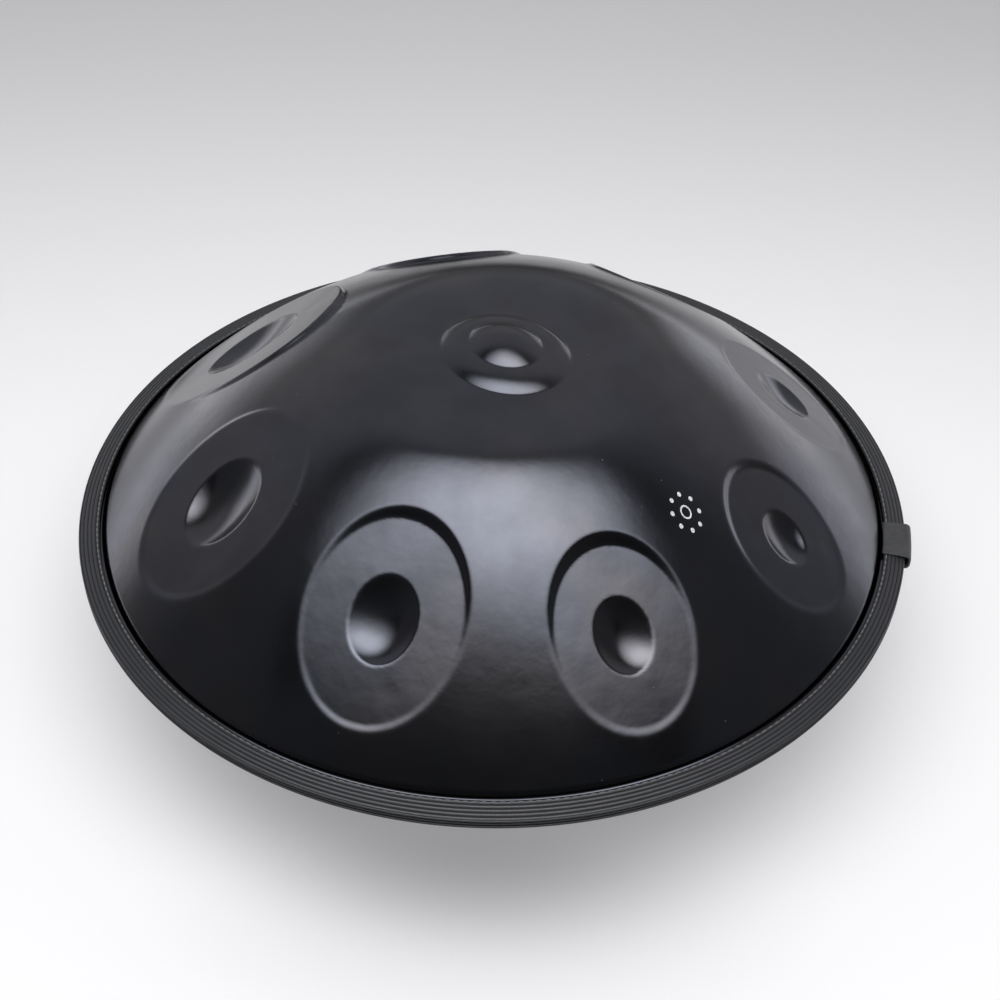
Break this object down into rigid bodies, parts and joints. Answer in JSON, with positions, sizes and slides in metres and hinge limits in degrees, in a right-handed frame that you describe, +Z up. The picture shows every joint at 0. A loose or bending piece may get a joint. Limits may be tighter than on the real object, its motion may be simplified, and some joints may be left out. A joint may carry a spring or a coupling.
{
  "type": "handpan",
  "caption": "Lens-shaped steel hand drum with a raised central note, hollow-dimpled tone fields round it, a port underneath and a woven guard on the rim.",
  "frame": {"origin": "the middle of the flat ring round the port that the handpan rests on, which is the bottom centre of its box", "axes": "+Z up, out of the playing side; -Y is the front, through the third largest tone field; +X to the right of it"},
  "size_m": [0.5359, 0.5358, 0.2514],
  "materials": {
    "nitrided_steel": "nitrided, near-black satin",
    "adhesive": "cured epoxy",
    "woven_tape": "ribbed woven tape, dark grey",
    "thread": "spun thread, light grey",
    "clip_rubber": "smooth matt"
  },
  "bodies": {
    "root": {"top_shell": "nitrided_steel", "bottom_shell": "nitrided_steel", "flange_glue": "adhesive", "guard_band": "woven_tape", "guard_thread_top": "thread", "guard_thread_bottom": "thread", "joiner_clip": "clip_rubber"}
  },
  "joints": []
}
